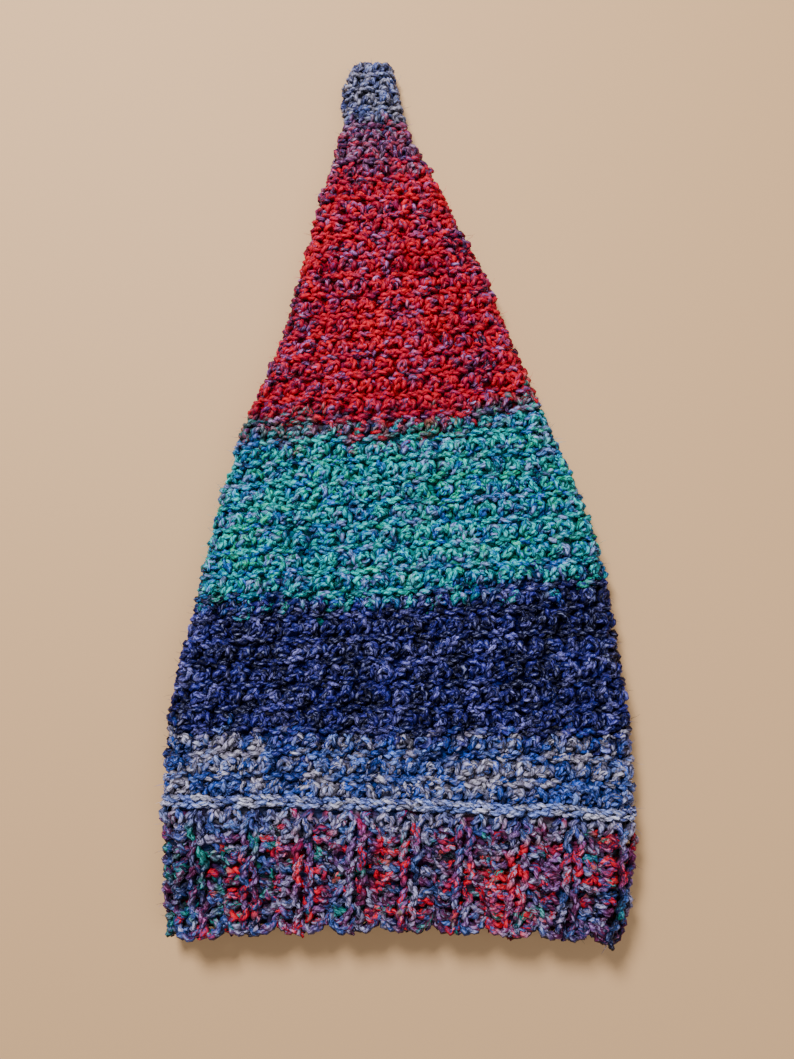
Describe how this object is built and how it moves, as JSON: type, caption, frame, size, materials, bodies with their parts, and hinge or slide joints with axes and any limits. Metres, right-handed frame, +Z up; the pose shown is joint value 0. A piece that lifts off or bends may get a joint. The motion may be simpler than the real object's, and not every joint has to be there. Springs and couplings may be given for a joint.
{
  "type": "crochet hat",
  "caption": "Long pointed crochet hat lying flat, with a ribbed brim band, a raised chain at the join and a hollow crown that tapers to a narrow closed tip.",
  "frame": {"origin": "on the surface that the hat lies on, under the middle of its bounding box", "axes": "+X across the hat, +Y along it from the brim to the tip, +Z up off the surface"},
  "size_m": [0.2364, 0.4818, 0.0246],
  "materials": {
    "crown_yarn": "soft marled two-ply yarn in stripes: slate blue, mauve, red, teal, navy and steel blue, half double crochet",
    "ridge_yarn": "soft marled two-ply yarn, pale grey and blue, raised chain",
    "edge_yarn": "soft marled two-ply yarn, grey and blue, single crochet",
    "brim_yarn": "soft marled two-ply yarn, navy, violet, red and grey with some green, ribbed"
  },
  "bodies": {
    "root": {"crown": "crown_yarn", "chain_ridge": "ridge_yarn", "edge_round": "edge_yarn", "brim_band": "brim_yarn"}
  },
  "joints": []
}
